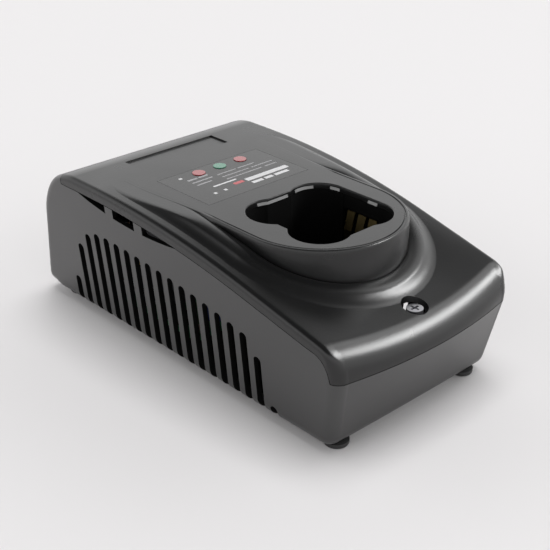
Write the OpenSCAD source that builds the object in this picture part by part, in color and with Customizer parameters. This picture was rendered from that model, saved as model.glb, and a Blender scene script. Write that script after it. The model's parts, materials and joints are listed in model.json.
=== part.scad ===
// Battery charger for a stem-type power tool battery.
// +Z is up, the front (low end) faces -Y, and Z = 0 is the surface that the feet stand on.

/* [Body] */
// Overall length, from the bowed front to the back wall
body_len = 208; // [198:1:230]
// Width of the base at its bottom edge
body_w = 97; // [93:1:110]
// Height of the flat rear top and of the battery platform
top_h = 72; // [68:1:80]
// Outward lean of the side walls, in degrees
side_flare = 5.7; // [4:0.1:9]
// Outward lean of the front wall, in degrees
front_lean = 11.3; // [5:0.1:13]
// Forward lean of the back wall, in degrees
back_lean = 12; // [3:0.5:13]
// How far the front wall bows out at its parting line
front_bow = 4.7; // [1:0.1:6]
// Slope of the top surface towards the front, in degrees
front_slope = 12.5; // [10:0.5:15]
// Radius of the bend from the flat top into the front slope
slope_bend_r = 465; // [400:5:500]
// Y where the flat rear top ends and the bend begins
bend_start = 52; // [45:1:60]
// Rounding between the top and the back wall
back_round = 32; // [26:1:36]
// Rounding between the front slope and the front wall
front_round = 12.5; // [8:0.5:13]
// Depth of the hollow across the front of the top surface
hollow_t = 2.6; // [1:0.1:3.5]
// Slope of the hollow's lowest line, in degrees
hollow_slope = 13.8; // [12.5:0.1:15]
// Rounding along the side edges of the top
side_round = 2.6; // [1:0.1:3]
// Rounding of the bottom edge
bottom_round = 6.5; // [4:0.5:7]
// Plan radius of the two front corners
front_corner_r = 5.5; // [4:0.5:8]
// Plan radius of the two back corners
back_corner_r = 5; // [4:0.5:8]
// Wall thickness of both housing shells
wall = 2.5; // [2:0.1:3]

/* [Cover joint] */
// Depth of the cover's edge strip below the top surface
strip_h = 5.6; // [4:0.1:7]
// Height of the parting line across the front wall
parting_h = 36.5; // [32:0.5:40]
// Y of the cover's back edge
cover_back = 74; // [70:0.5:76]
// Diameter of the bosses that take the cover screws
boss_d = 9; // [8:0.5:10]
// Thread diameter of the cover screws
screw_d = 3.5; // [3:0.1:4]
// Head diameter of the cover screws
screw_head_d = 7; // [6:0.1:7.5]
// Diameter of the dished recess round the front screw
dish_d = 10.5; // [9:0.5:12]
// X distance between the two rear cover screws
rear_screw_pitch = 58; // [50:1:64]

/* [Battery socket] */
// Y of the socket's centre
well_y = -36.8; // [-40:0.2:-34]
// Radius of each of the socket's four cell lobes
lobe_r = 12.9; // [12:0.1:14]
// Distance of each lobe's centre from the socket's centre, along X and Y
lobe_pitch = 12.8; // [12:0.1:14]
// Depth of the indents between the lobes at the left and right
side_indent = 4.6; // [2:0.1:6]
// Depth of the indents between the lobes at the front and back
end_indent = 1.4; // [0.5:0.1:4]
// Wall thickness of the socket liner
well_wall = 1.8; // [1.2:0.1:2.2]
// Depth of the socket below the platform
well_depth = 54; // [45:1:57]
// Running gap round fixed pieces that are let into the shells
fit_gap = 0.15; // [0.1:0.05:0.3]

/* [Platform] */
// Radius of the platform's rounded front end, at its top
platform_r = 37.3; // [36:0.1:39]
// Radius of the platform wall where it meets the ledge
platform_foot_r = 39.6; // [38:0.1:42]
// Outer radius of the ledge that runs round the platform
ledge_r = 43.6; // [42:0.1:46]
// Height of the ledge above the slope at its front
ledge_front_h = 0.9; // [0.5:0.1:3]
// Height of the ledge above the slope beside the socket
ledge_side_h = 3.7; // [2:0.1:6]
// Outer radius of the sweep at the foot of the ledge
skirt_r = 48; // [45:0.5:50]
// How far the sweep stands below the ledge
skirt_fall = 2.4; // [1:0.1:3]

/* [Indicators and label] */
// Width of the label
label_w = 59; // [50:1:62]
// Length of the label
label_l = 36; // [30:1:40]
// Y of the label's centre
label_y = 17.7; // [15:0.1:20]
// Depth that the label is let in
label_t = 0.5; // [0.3:0.1:0.8]
// Y of the row of indicator lenses
lens_y = 30.5; // [26:0.5:32]
// Distance between neighbouring lenses
lens_pitch = 12.4; // [10:0.1:14]
// Diameter of each lens
lens_d = 6; // [4:0.1:7]
// X of the middle lens
lens_mid_x = 2.8; // [0:0.1:8]
// Width of the bare name plate recess
plate_w = 52; // [40:1:56]
// Length of the bare name plate recess
plate_l = 12.6; // [8:0.1:14]
// Y of the name plate recess's centre
plate_y = 57.8; // [55:0.1:60]
// Depth of the name plate recess
plate_t = 0.7; // [0.4:0.1:1]

/* [Vents] */
// Number of vent slots in each side wall
vent_n = 19; // [10:1:19]
// Distance between neighbouring vent slots
vent_pitch = 7.52; // [6.5:0.01:7.6]
// Width of a vent slot
vent_w = 4.2; // [2:0.1:5]
// Y of the rearmost vent slot
vent_back = 74.1; // [70:0.1:75]
// Distance of the slot tops below the top surface
vent_drop = 25.3; // [20:0.1:30]
// How far the slots run in under the base
vent_under = 7; // [6:0.5:9]
// Depth of the crescent vent under the cover's edge
crescent_h = 4.6; // [2:0.1:5]
// Y of the crescent vent's rear end
crescent_back = 61; // [56:1:64]
// Length of the crescent vent
crescent_l = 69; // [60:1:72]
// Width of the two ribs across the crescent vent
crescent_rib = 5.6; // [4:0.1:8]
// Length of the crescent vent's middle opening
crescent_mid_l = 15; // [12:0.5:20]
// Length of the crescent vent's front opening
crescent_front_l = 22.5; // [16:0.5:26]

/* [Feet] */
// Height of the gap between the base and the surface
foot_h = 2.4; // [2:0.1:3]
// Diameter of each foot
foot_d = 10.5; // [9:0.5:12]
// X distance between the feet
foot_pitch_x = 78; // [70:1:80]
// Distance of the front feet's centres behind the front
foot_front_in = 17; // [14:0.5:24]
// Distance of the rear feet's centres from the back
foot_rear_in = 14; // [13:0.5:24]
// Diameter of the peg that holds a foot in the floor
foot_peg_d = 4; // [3:0.1:5]

/* [Contacts] */
// Width of a contact leaf
leaf_w = 4.4; // [3:0.1:5]
// Thickness of a contact leaf
leaf_t = 0.6; // [0.4:0.1:0.8]
// Length of a contact leaf above its pivot
leaf_l = 30; // [24:1:32]
// Distance between neighbouring contact leaves
leaf_pitch = 6.4; // [6:0.1:7]
// Radius of the rolled pivot at the foot of a leaf
leaf_roll_r = 1.2; // [1:0.1:1.4]
// Radial clearance of the rolled pivot in its groove
roll_gap = 0.05; // [0.02:0.01:0.08]
// How far the bend of a leaf reaches into the socket
leaf_reach = 2.2; // [1:0.1:3]
// Height of the leaf pivots above the surface
leaf_pivot_z = 32; // [28:1:34]

/* [Mains entry] */
// Inside diameter of the cord gland
gland_bore_d = 7.2; // [6:0.1:8]
// Outside diameter of the cord gland
gland_d = 12; // [11:0.1:14]
// Length of the gland outside the back wall
gland_out = 2; // [1.5:0.5:3]
// X of the cord gland
gland_x = -24; // [-30:1:-18]
// Z of the cord gland
gland_z = 31; // [28:0.5:32]

/* [Electronics] */
// Width of the main board
board_w = 80; // [76:1:82]
// Length of the main board
board_l = 84; // [80:1:86]
// Thickness of the main board
board_t = 1.6; // [1:0.1:2]
// Height of the board's underside above the floor
board_gap = 5; // [4:0.5:6]
// Distance of the main board's edge from the back
board_back_in = 22; // [20:1:26]
// Width of the transformer core
core_w = 42; // [38:1:44]
// Length of the transformer core
core_l = 24; // [20:1:26]
// Height of the transformer core
core_h = 35; // [30:1:36]

/* [Hidden] */
$fn = 48;
eps = 0.01;
far = 300;
black = [0.13, 0.13, 0.135];
dark = [0.2, 0.2, 0.21];

// Body frame: heights and planes of the outer form
half_len = body_len / 2;
base_z = foot_h;
bend_end = bend_start - slope_bend_r * sin(front_slope);
bend_fall = slope_bend_r * (1 - cos(front_slope));
back_mid_z = top_h - back_round;
back_mid_y = (half_len * cos(back_lean) + (base_z + bottom_round) * sin(back_lean)
              - back_round - back_mid_z * sin(back_lean)) / cos(back_lean);
lip_y = -half_len + front_bow;
board_y = half_len - board_back_in - board_l / 2;

// Height of the top surface along the length
function top_z(y) =
    y > back_mid_y ? back_mid_z + sqrt(max(0, pow(back_round, 2) - pow(y - back_mid_y, 2)))
    : y > bend_start ? top_h
    : y > bend_end ? top_h - slope_bend_r + sqrt(pow(slope_bend_r, 2) - pow(bend_start - y, 2))
    : top_h - bend_fall - (bend_end - y) * tan(front_slope);
// Half width of the body, Y of its front corners, of its bow and of its back, at a height
function half_w(z) = body_w / 2 + (z - base_z) * tan(side_flare);
function front_y(z) = lip_y + max(0, parting_h - z) * tan(front_lean);
function bow(z) = front_bow * min(1, (z - base_z) / (parting_h - base_z));
function back_y(z) =
    z > back_mid_z + back_round * sin(back_lean)
    ? back_mid_y + sqrt(max(0, pow(back_round, 2) - pow(z - back_mid_z, 2)))
    : (half_len * cos(back_lean) - (z - base_z - bottom_round) * sin(back_lean)) / cos(back_lean);

// Points of the body, drawn in by g from the outer surface, and by d at a rounding
corner_steps = 4;
bow_steps = 5;
function front_arc(z, g, d, zz) =
    [for (i = [-bow_steps : bow_steps])
        let (u = i / bow_steps)
        [u * (half_w(zz) - g - front_corner_r),
         front_y(zz) - bow(zz) * (1 - u * u) + g + d, z]];
function front_corners(z, g, d, zz) =
    [for (side = [-1, 1], i = [0 : corner_steps])
        let (a = 90 * i / corner_steps, r = max(0.4, front_corner_r - d))
        [side * (half_w(zz) - g - front_corner_r + r * cos(a)),
         front_y(zz) + g + max(front_corner_r, d + r) - r * sin(a), z]];
function back_corners(z, g, d, zz) =
    [for (side = [-1, 1], i = [0 : corner_steps])
        let (a = 90 * i / corner_steps, r = back_corner_r - d)
        [side * (half_w(zz) - g - back_corner_r + r * cos(a)),
         back_y(zz) - g - back_corner_r + r * sin(a), z]];
function ring(z, g, d, zz) =
    concat(front_arc(z, g, d, zz), front_corners(z, g, d, zz), back_corners(z, g, d, zz));
function front_edge(g) =
    [for (a = [0, 25, 50, 75],
          p = concat(front_arc(0, g, front_round * (1 - cos(a)), parting_h + front_round),
                     front_corners(0, g, front_round * (1 - cos(a)), parting_h + front_round)))
        [p[0], p[1], top_z(p[1]) - g - front_round * (1 - sin(a)) * 0.9]];
side_front_y = lip_y + max(front_corner_r, front_round);
function side_edge(g) =
    [for (side = [-1, 1], i = [0 : 12], s = [0, 1])
        let (y = side_front_y + i * (back_mid_y - side_front_y) / 12,
             z = top_z(y) - g - side_round * (1 - s))
        [side * (half_w(z) - g - side_round * s), y, z]];
function back_edge(g) =
    [for (a = [back_lean : 10.375 : 90],
          p = back_corners(back_mid_z + (back_round - g) * sin(a), g, 0,
                           back_mid_z + back_round * sin(a)))
        p];
function bottom_edge(g) =
    [for (a = [0, 45, 90],
          p = ring(base_z + g + bottom_round * (1 - cos(a)), g, bottom_round * (1 - sin(a)),
                   base_z + bottom_round))
        [p[0] * (1 - bottom_round * (1 - sin(a)) / half_w(base_z)), p[1], p[2]]];
function body_points(g) =
    concat(bottom_edge(g), ring(parting_h, g, 0, parting_h), front_edge(g), side_edge(g),
           back_edge(g));

// The convex body, drawn in by g
module body_form(g)
{
    points = body_points(g);
    hull()
        polyhedron(points = points, faces = [for (i = [0 : len(points) - 3]) [i, i + 1, i + 2]]);
}

// Shallow round hollow along the middle of the sloping top, enlarged by g
hollow_r = pow(half_w(parting_h), 2) / (2 * hollow_t);
function hollow_z(y) =
    top_z(side_front_y) - hollow_t + (y - side_front_y) * tan(hollow_slope);
module top_hollow(g)
{
    translate([0, side_front_y, hollow_z(side_front_y) - g])
        rotate([90 + hollow_slope, 0, 0])
            translate([0, 0, -half_len])
                linear_extrude(2 * half_len)
                    polygon(concat([for (i = [-12 : 12])
                                       let (x = i * body_w / 18)
                                       [x, x * x / (2 * hollow_r)]],
                                   [[body_w, top_h], [-body_w, top_h]]));
}
module hollowed_body(g)
{
    difference() {
        body_form(g);
        top_hollow(g);
    }
}

// Stretch of the body's length and width between a lower and an upper outline in Y and Z
module slab_x(outline)
{
    translate([-far, 0, 0])
        rotate([90, 0, 90])
            linear_extrude(2 * far)
                polygon(outline);
}

seam_steps = 24;
seam_front = lip_y + strip_h;
function seam_z(y) = top_z(y) - strip_h;
seam_line = concat(
    [[-far, parting_h], [seam_front - 1, parting_h], [seam_front + 0.4, parting_h + 3],
     [seam_front + 3, seam_z(seam_front + 4) - 1.5]],
    [for (i = [0 : seam_steps])
        let (y = seam_front + 6 + i * (cover_back - 4 - seam_front - 6) / seam_steps)
        [y, seam_z(y)]],
    [[cover_back, seam_z(cover_back - 4)]]);
module above_seam() { slab_x(concat(seam_line, [[cover_back, far], [-far, far]])); }

// Plan outline of the platform, with a rounded front end and straight sides
platform_back = bend_start;
module platform_plan(r)
{
    translate([0, well_y])
        circle(r, $fn = 96);
    translate([-r, well_y])
        square([2 * r, platform_back - well_y]);
}
module platform_form(g)
{
    hull() {
        translate([0, well_y, top_h - g - eps])
            cylinder(h = eps, r = platform_r - g, $fn = 64);
        translate([0, well_y, top_z(well_y - platform_foot_r)])
            cylinder(h = eps, r = platform_foot_r - g, $fn = 64);
        translate([-platform_r + g, platform_back, top_h - g - eps])
            cube([2 * (platform_r - g), eps, eps]);
        translate([-platform_foot_r + g, platform_back, top_h - 10])
            cube([2 * (platform_foot_r - g), eps, eps]);
    }
}
// Raised band round the platform, lower at its front than beside the socket
function ledge_h(y) =
    ledge_front_h + (ledge_side_h - ledge_front_h) * max(0, min(1, (y - well_y + ledge_r) / ledge_r));
module band(r, fall)
{
    intersection() {
        linear_extrude(far)
            platform_plan(r);
        slab_x(concat([[-far, parting_h], [-half_len, top_z(-half_len)]],
                      [for (i = [0 : seam_steps])
                          let (y = -half_len + 2 + i * (platform_back + half_len - 2) / seam_steps)
                          [y, min(top_h - 0.02, top_z(y) + ledge_h(y) - fall)]],
                      [[platform_back, parting_h]]));
    }
}

// Socket outline: four cell lobes, shallow indents, and the contact niche at the right
niche_w = 3 * leaf_pitch + 1.6;
lobe_out = lobe_pitch + lobe_r;
module socket_plan(g)
{
    translate([0, well_y]) {
        for (sx = [-1, 1], sy = [-1, 1])
            translate([sx * lobe_pitch, sy * lobe_pitch])
                circle(lobe_r + g);
        square([2 * (lobe_out - side_indent + g), 2 * lobe_pitch], center = true);
        square([2 * lobe_pitch, 2 * (lobe_out - end_indent + g)], center = true);
        translate([0, -niche_w / 2 - g])
            square([lobe_out + g, niche_w + 2 * g]);
    }
}

front_screw_y = -half_len + 13.2;
front_joint_z = hollow_z(front_screw_y) - 10;
front_head_z = hollow_z(front_screw_y) - 3.2;
rear_screw_y = back_mid_y - 3;
rear_joint_z = 30;
rear_head_z = 16;
floor_z = base_z + wall;
label_z = top_h - label_t;
led_board_z = top_h - 14;
led_board_t = 1.6;
led_post_x = 19.4;
led_post_d = 5.5;
led_screw_d = 2.2;
lens_flange = 1;

module vent_slots()
{
    for (k = [0 : vent_n - 1]) {
        y = vent_back - k * vent_pitch;
        from_end = min(k, vent_n - 1 - k);
        cut = from_end == 0 ? (k == 0 ? 31 : 26) : from_end == 1 ? (k == 1 ? 10.8 : 6.7)
            : k == 2 ? 3.3 : k == 3 ? 0.6 : 0;
        slot_top = max(base_z + 3, min(top_z(y), top_h) - vent_drop - cut);
        for (side = [-1, 1])
            translate([side * (body_w / 2 - vent_under), y, 0])
                rotate([0, side * 90, 0])
                    linear_extrude(40)
                        translate([side * -slot_top, 0]) {
                            circle(vent_w / 2, $fn = 24);
                            translate([side > 0 ? 0 : -slot_top, -vent_w / 2])
                                square([slot_top, vent_w]);
                        }
    }
}

module crescent_vents()
{
    mid = crescent_back - crescent_l / 2;
    front_rib_y = crescent_back - crescent_l + crescent_front_l;
    difference() {
        slab_x(concat(
            [for (i = [0 : 16])
                let (y = crescent_back - i * crescent_l / 16)
                [y, seam_z(y) + 0.5]],
            [for (i = [16 : -1 : 0])
                let (y = crescent_back - i * crescent_l / 16, u = (y - mid) / (crescent_l / 2))
                [y, seam_z(y) - crescent_h * (1 - u * u) - 0.05]]));
        for (y = [front_rib_y, front_rib_y + crescent_rib + crescent_mid_l])
            translate([-far, y, 0])
                cube([2 * far, crescent_rib, far]);
        translate([-half_w(0) + 6, -far, 0])
            cube([2 * half_w(0) - 12, 2 * far, far]);
    }
}

module boss(x, y, z0, z1) { translate([x, y, z0]) cylinder(h = z1 - z0, d = boss_d); }
module bore(x, y, z0, z1, d) { translate([x, y, z0]) cylinder(h = z1 - z0, d = d); }

board_z = floor_z + board_gap;
board_top = board_z + board_t;
board_posts = [for (sx = [-1, 1], sy = [-1, 1])
    [sx * (board_w / 2 - 5), board_y + sy * (board_l / 2 - 5)]];
foot_places = [[-foot_pitch_x / 2, foot_front_in - half_len], [foot_pitch_x / 2, foot_front_in - half_len],
               [-foot_pitch_x / 2, half_len - foot_rear_in], [foot_pitch_x / 2, half_len - foot_rear_in]];
wide_boss_d = boss_d + 3;
front_boss_d = dish_d + 3.5;
// The front boss stands clear of the leaning front wall, on a thinner post set back from its round
front_boss_z = floor_z + 9;
front_post_d = 5;
front_post_back = 1.2;
gland_neck_d = gland_d - 3;
wall_back = wall * cos(back_lean);
module gland_place()
{
    translate([gland_x, back_y(gland_z), gland_z])
        rotate([back_lean - 90, 0, 0])
            children();
}
clamp_y = half_len - wall - 12;
clamp_pitch = 18;
clamp_z = gland_z - gland_bore_d / 2 - 1;
rating_w = 48;
rating_l = 34;
rating_y = 23;
rating_t = 0.5;

module base_housing()
{
    color(black)
        difference() {
            union() {
                difference() {
                    body_form(0);
                    body_form(wall);
                    above_seam();
                    vent_slots();
                    crescent_vents();
                }
                boss(0, front_screw_y, front_boss_z, front_joint_z);
                bore(0, front_screw_y + front_post_back, floor_z - eps, front_boss_z + 1, front_post_d);
                for (side = [-1, 1]) {
                    boss(side * rear_screw_pitch / 2, rear_screw_y, floor_z - eps, rear_joint_z);
                    bore(side * rear_screw_pitch / 2, rear_screw_y, floor_z - eps, rear_head_z + 3,
                         wide_boss_d);
                }
                for (p = board_posts)
                    translate([p[0], p[1], floor_z - eps])
                        cylinder(h = board_gap + eps, d = 7);
                for (side = [-1, 1])
                    translate([gland_x + side * clamp_pitch / 2, clamp_y, floor_z - eps])
                        cylinder(h = clamp_z - floor_z + eps, d = 7);
            }
            bore(0, front_screw_y, front_boss_z + 1, 60, screw_d);
            for (side = [-1, 1]) {
                bore(side * rear_screw_pitch / 2, rear_screw_y, 0, 60, screw_d + 2 * fit_gap);
                bore(side * rear_screw_pitch / 2, rear_screw_y, 0, rear_head_z, screw_head_d + 1);
            }
            for (p = board_posts)
                bore(p[0], p[1], floor_z + 0.5, 30, 2.5);
            for (side = [-1, 1])
                bore(gland_x + side * clamp_pitch / 2, clamp_y, floor_z + 0.5, 30, 2.5);
            for (p = foot_places) {
                bore(p[0], p[1], 0, 12, foot_peg_d);
                bore(p[0], p[1], floor_z, 12, foot_clip_d + 2 * fit_gap);
            }
            gland_place()
                translate([0, 0, -wall - 3])
                    cylinder(h = wall + 6, d = gland_neck_d);
            translate([-rating_w / 2, rating_y - rating_l / 2, 0])
                cube([rating_w, rating_l, base_z + rating_t]);
        }
}

// Screw columns and indicator posts that hang from the underside of the cover
module cover_columns()
{
    bore(0, front_screw_y, front_joint_z, 60, front_boss_d);
    for (side = [-1, 1]) {
        boss(side * rear_screw_pitch / 2, rear_screw_y, rear_joint_z, top_h - 2);
        bore(lens_mid_x + side * led_post_x, lens_y, led_board_z, top_h - 2, led_post_d);
    }
}

module top_cover()
{
    color(black)
        difference() {
            union() {
                intersection() {
                    hollowed_body(0);
                    union() {
                        above_seam();
                        cover_columns();
                    }
                }
                platform_form(0);
                band(ledge_r, 0);
                band(skirt_r, skirt_fall);
            }
            difference() {
                union() {
                    hollowed_body(wall);
                    intersection() {
                        platform_form(wall);
                        translate([-far, -far, 0])
                            cube([2 * far, 2 * far, top_h - wall]);
                    }
                }
                cover_columns();
            }
            translate([0, 0, top_h - 20])
                linear_extrude(40)
                    socket_plan(0);
            translate([0, 0, -1])
                linear_extrude(top_h - wall + 1)
                    socket_plan(well_wall + fit_gap);
            translate([-label_w / 2, label_y - label_l / 2, label_z])
                cube([label_w, label_l, 2]);
            for (i = [-1 : 1])
                bore(lens_mid_x + i * lens_pitch, lens_y, 40, 90, lens_d + 2 * fit_gap);
            translate([-plate_w / 2, plate_y - plate_l / 2, top_h - plate_t])
                cube([plate_w, plate_l, 2]);
            translate([0, front_screw_y, front_head_z])
                cylinder(h = 4.2, d1 = screw_head_d + 1, d2 = dish_d + 1.2);
            bore(0, front_screw_y, 20, 90, screw_d + 2 * fit_gap);
            for (side = [-1, 1]) {
                bore(side * rear_screw_pitch / 2, rear_screw_y, 20, 60, screw_d);
                bore(lens_mid_x + side * led_post_x, lens_y, led_board_z - 5, top_h - wall - 1,
                     led_screw_d);
            }
        }
}

well_floor_z = top_h - well_depth;
leaf_x = lobe_out + 1.2;
module battery_well()
{
    color(dark)
        difference() {
            union() {
                translate([0, 0, well_floor_z - well_wall])
                    linear_extrude(top_h - wall - well_floor_z + well_wall)
                        socket_plan(well_wall);
                for (sx = [-1, 1], sy = [-1, 1])
                    translate([sx * lobe_pitch, well_y + sy * lobe_pitch, floor_z])
                        cylinder(h = well_floor_z - floor_z - eps, d1 = 8, d2 = 11);
            }
            translate([0, 0, well_floor_z])
                linear_extrude(far)
                    socket_plan(0);
            translate([0, well_y - niche_w / 2, leaf_pivot_z - 4])
                cube([60, niche_w, leaf_l + 5]);
        }
}

module status_label()
{
    color([0.12, 0.12, 0.12])
        difference() {
            translate([-label_w / 2 + fit_gap, label_y - label_l / 2 + fit_gap, label_z])
                cube([label_w - 2 * fit_gap, label_l - 2 * fit_gap, label_t]);
            for (i = [-1 : 1])
                bore(lens_mid_x + i * lens_pitch, lens_y, 40, 90, lens_d + 2 * fit_gap);
        }
}

module lens(i, tint)
{
    color(tint)
        translate([lens_mid_x + i * lens_pitch, lens_y, 0]) {
            translate([0, 0, led_board_z + 5.5])
                cylinder(h = top_h + 0.3 - led_board_z - 5.5, d = lens_d);
            translate([0, 0, top_h - wall - lens_flange])
                cylinder(h = lens_flange, d = lens_d + 2);
        }
}
module lens_charge() { lens(-1, [0.75, 0.2, 0.22]); }
module lens_ready() { lens(0, [0.15, 0.55, 0.4]); }
module lens_fault() { lens(1, [0.75, 0.2, 0.22]); }

module indicator_board()
{
    color([0.1, 0.35, 0.2])
        difference() {
            translate([lens_mid_x - 22, lens_y - 7, led_board_z - led_board_t])
                cube([44, 14, led_board_t]);
            for (side = [-1, 1])
                bore(lens_mid_x + side * led_post_x, lens_y, led_board_z - 5, led_board_z + 5,
                     led_screw_d + 0.4);
        }
}

module indicator_leds()
{
    color([0.9, 0.9, 0.85])
        for (i = [-1 : 1])
            translate([lens_mid_x + i * lens_pitch, lens_y, led_board_z]) {
                cylinder(h = 3, d = 3);
                translate([0, 0, 3])
                    sphere(d = 3);
            }
}

ribbon_x = 8;
ribbon_w = 8;
ribbon_t = 0.8;
ribbon_y = board_y + 17;
module indicator_ribbon()
{
    plug_z = led_board_z - led_board_t - 3;
    color([0.6, 0.6, 0.62]) {
        translate([ribbon_x, lens_y + 2, plug_z])
            cube([ribbon_w, 4.6, 3]);
        translate([ribbon_x, lens_y + 2, plug_z - ribbon_t])
            cube([ribbon_w, ribbon_y - lens_y - 2, ribbon_t + eps]);
        translate([ribbon_x, ribbon_y - ribbon_t, board_top])
            cube([ribbon_w, ribbon_t, plug_z - board_top]);
    }
}

module indicator_screws()
{
    color([0.75, 0.75, 0.78])
        for (side = [-1, 1])
            translate([lens_mid_x + side * led_post_x, lens_y, led_board_z - led_board_t])
                rotate([180, 0, 0])
                    pan_screw(4.4, 1.6, led_screw_d, 7);
}

// Contact leaves: each turns on a rolled foot in a groove of the carrier
carrier_back = lobe_out + 7.6;
groove_r = leaf_roll_r + roll_gap;
module leaf_place(i) { translate([leaf_x, well_y + i * leaf_pitch, leaf_pivot_z]) children(); }
module contact_leaf(i)
{
    bend_z = leaf_l * 0.72;
    color([0.8, 0.62, 0.3])
        leaf_place(i) {
            rotate([90, 0, 0])
                cylinder(h = leaf_w, r = leaf_roll_r, center = true);
            rotate([90, 0, 0])
                linear_extrude(leaf_w, center = true)
                    polygon([[-leaf_t / 2, 0], [leaf_t / 2, 0],
                             [leaf_t / 2 - leaf_reach, bend_z],
                             [leaf_t / 2, leaf_l], [-leaf_t / 2, leaf_l],
                             [-leaf_t / 2 - leaf_reach, bend_z]]);
        }
}
module contact_positive() { contact_leaf(-1); }
module contact_negative() { contact_leaf(1); }
module contact_sensor() { contact_leaf(0); }

module contact_carrier()
{
    color([0.85, 0.83, 0.78])
        difference() {
            union() {
                translate([leaf_x - 2.6, well_y - niche_w / 2 + fit_gap, leaf_pivot_z - 3.8])
                    cube([carrier_back - leaf_x + 2.6, niche_w - 2 * fit_gap, 3.8 + leaf_roll_r]);
                translate([carrier_back - 2.4, well_y - niche_w / 2 + fit_gap, floor_z])
                    cube([2.4, niche_w - 2 * fit_gap, leaf_pivot_z + leaf_l + 0.2 - floor_z]);
            }
            for (i = [-1 : 1])
                leaf_place(i) {
                    rotate([90, 0, 0])
                        cylinder(h = leaf_w + 0.6, r = groove_r, center = true);
                    translate([0, 0, leaf_roll_r])
                        rotate([90, 0, 0])
                            linear_extrude(leaf_w + 0.6, center = true)
                                polygon([[-0.9, -leaf_roll_r], [0.9, -leaf_roll_r],
                                         [1.1, 4], [-1.3, 4]]);
                }
        }
}

lead_d = 1.8;
lead_z = leaf_pivot_z - 6;
lead_end_y = board_y - 30;
module contact_leads()
{
    color([0.7, 0.12, 0.1])
        for (i = [-1 : 1]) {
            x = carrier_back + 1.4 + (1 - i) * 2.2;
            y = well_y + i * leaf_pitch;
            translate([carrier_back, y, lead_z])
                rotate([0, 90, 0])
                    cylinder(h = x - carrier_back, d = lead_d, $fn = 24);
            translate([x, y, lead_z])
                sphere(d = lead_d, $fn = 24);
            translate([x, y, lead_z])
                rotate([-90, 0, 0])
                    cylinder(h = lead_end_y - y, d = lead_d, $fn = 24);
            translate([x, lead_end_y, lead_z])
                sphere(d = lead_d, $fn = 24);
            translate([x, lead_end_y, board_top])
                cylinder(h = lead_z - board_top, d = lead_d, $fn = 24);
        }
}

module main_board()
{
    color([0.1, 0.35, 0.2])
        difference() {
            translate([-board_w / 2, board_y - board_l / 2, board_z])
                cube([board_w, board_l, board_t]);
            for (p = board_posts)
                bore(p[0], p[1], 0, 40, 3.2);
            for (side = [-1, 1])
                bore(side * rear_screw_pitch / 2, rear_screw_y, 0, 40, wide_boss_d + 1);
        }
}

module pan_screw(head_d, head_h, d, l)
{
    cylinder(h = head_h, d = head_d);
    translate([0, 0, -l])
        cylinder(h = l, d = d);
}
module board_screws()
{
    color([0.75, 0.75, 0.78])
        for (p = board_posts)
            translate([p[0], p[1], board_top])
                pan_screw(5.4, 1.8, 2.5, 5);
}

// Transformer: a shell core round a wound bobbin, standing on the board
core_x = -8;
core_y = board_y;
core_leg = 12;
core_side = 8;
core_yoke = 7;
window_w = (core_w - core_leg - 2 * core_side) / 2;
window_h = core_h - 2 * core_yoke;
bobbin_gap = 0.2;
bobbin_wall = 1;
winding_t = window_w - bobbin_gap - bobbin_wall - 0.3;
module core_place() { translate([core_x, core_y, board_top]) children(); }
module square_tube(in_w, in_l, t, h)
{
    difference() {
        translate([-in_w / 2 - t, -in_l / 2 - t, 0])
            cube([in_w + 2 * t, in_l + 2 * t, h]);
        translate([-in_w / 2, -in_l / 2, -1])
            cube([in_w, in_l, h + 2]);
    }
}
module transformer_core()
{
    color([0.3, 0.3, 0.32])
        core_place()
            difference() {
                translate([-core_w / 2, -core_l / 2, 0])
                    cube([core_w, core_l, core_h]);
                for (side = [-1, 1])
                    translate([side * (core_leg + window_w) / 2 - window_w / 2, -core_l,
                               core_yoke])
                        cube([window_w, 2 * core_l, window_h]);
            }
}
module transformer_bobbin()
{
    in_w = core_leg + 2 * bobbin_gap;
    in_l = core_l + 2 * bobbin_gap;
    color([0.85, 0.8, 0.65])
        core_place()
            translate([0, 0, core_yoke]) {
                square_tube(in_w, in_l, bobbin_wall, window_h);
                for (z = [0, window_h - bobbin_wall])
                    translate([0, 0, z])
                        square_tube(in_w, in_l, bobbin_wall + winding_t, bobbin_wall);
                for (side = [-1, 1])
                    translate([-in_w / 2 - 2, side * (in_l / 2 + 2.5) - 1.5, -core_yoke])
                        cube([in_w + 4, 3, core_yoke + eps]);
            }
}
module transformer_winding()
{
    h = window_h - 2 * bobbin_wall;
    w = core_leg + 2 * (bobbin_gap + bobbin_wall);
    l = core_l + 2 * (bobbin_gap + bobbin_wall);
    r = winding_t - 0.4;
    color([0.7, 0.4, 0.15])
        core_place()
            translate([0, 0, core_yoke + bobbin_wall])
                linear_extrude(h)
                    difference() {
                        union() {
                            square([w + 2 * r, l], center = true);
                            square([w, l + 2 * r], center = true);
                            for (sx = [-1, 1], sy = [-1, 1])
                                translate([sx * w / 2, sy * l / 2])
                                    circle(r);
                        }
                        square([w, l], center = true);
                    }
}

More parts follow.
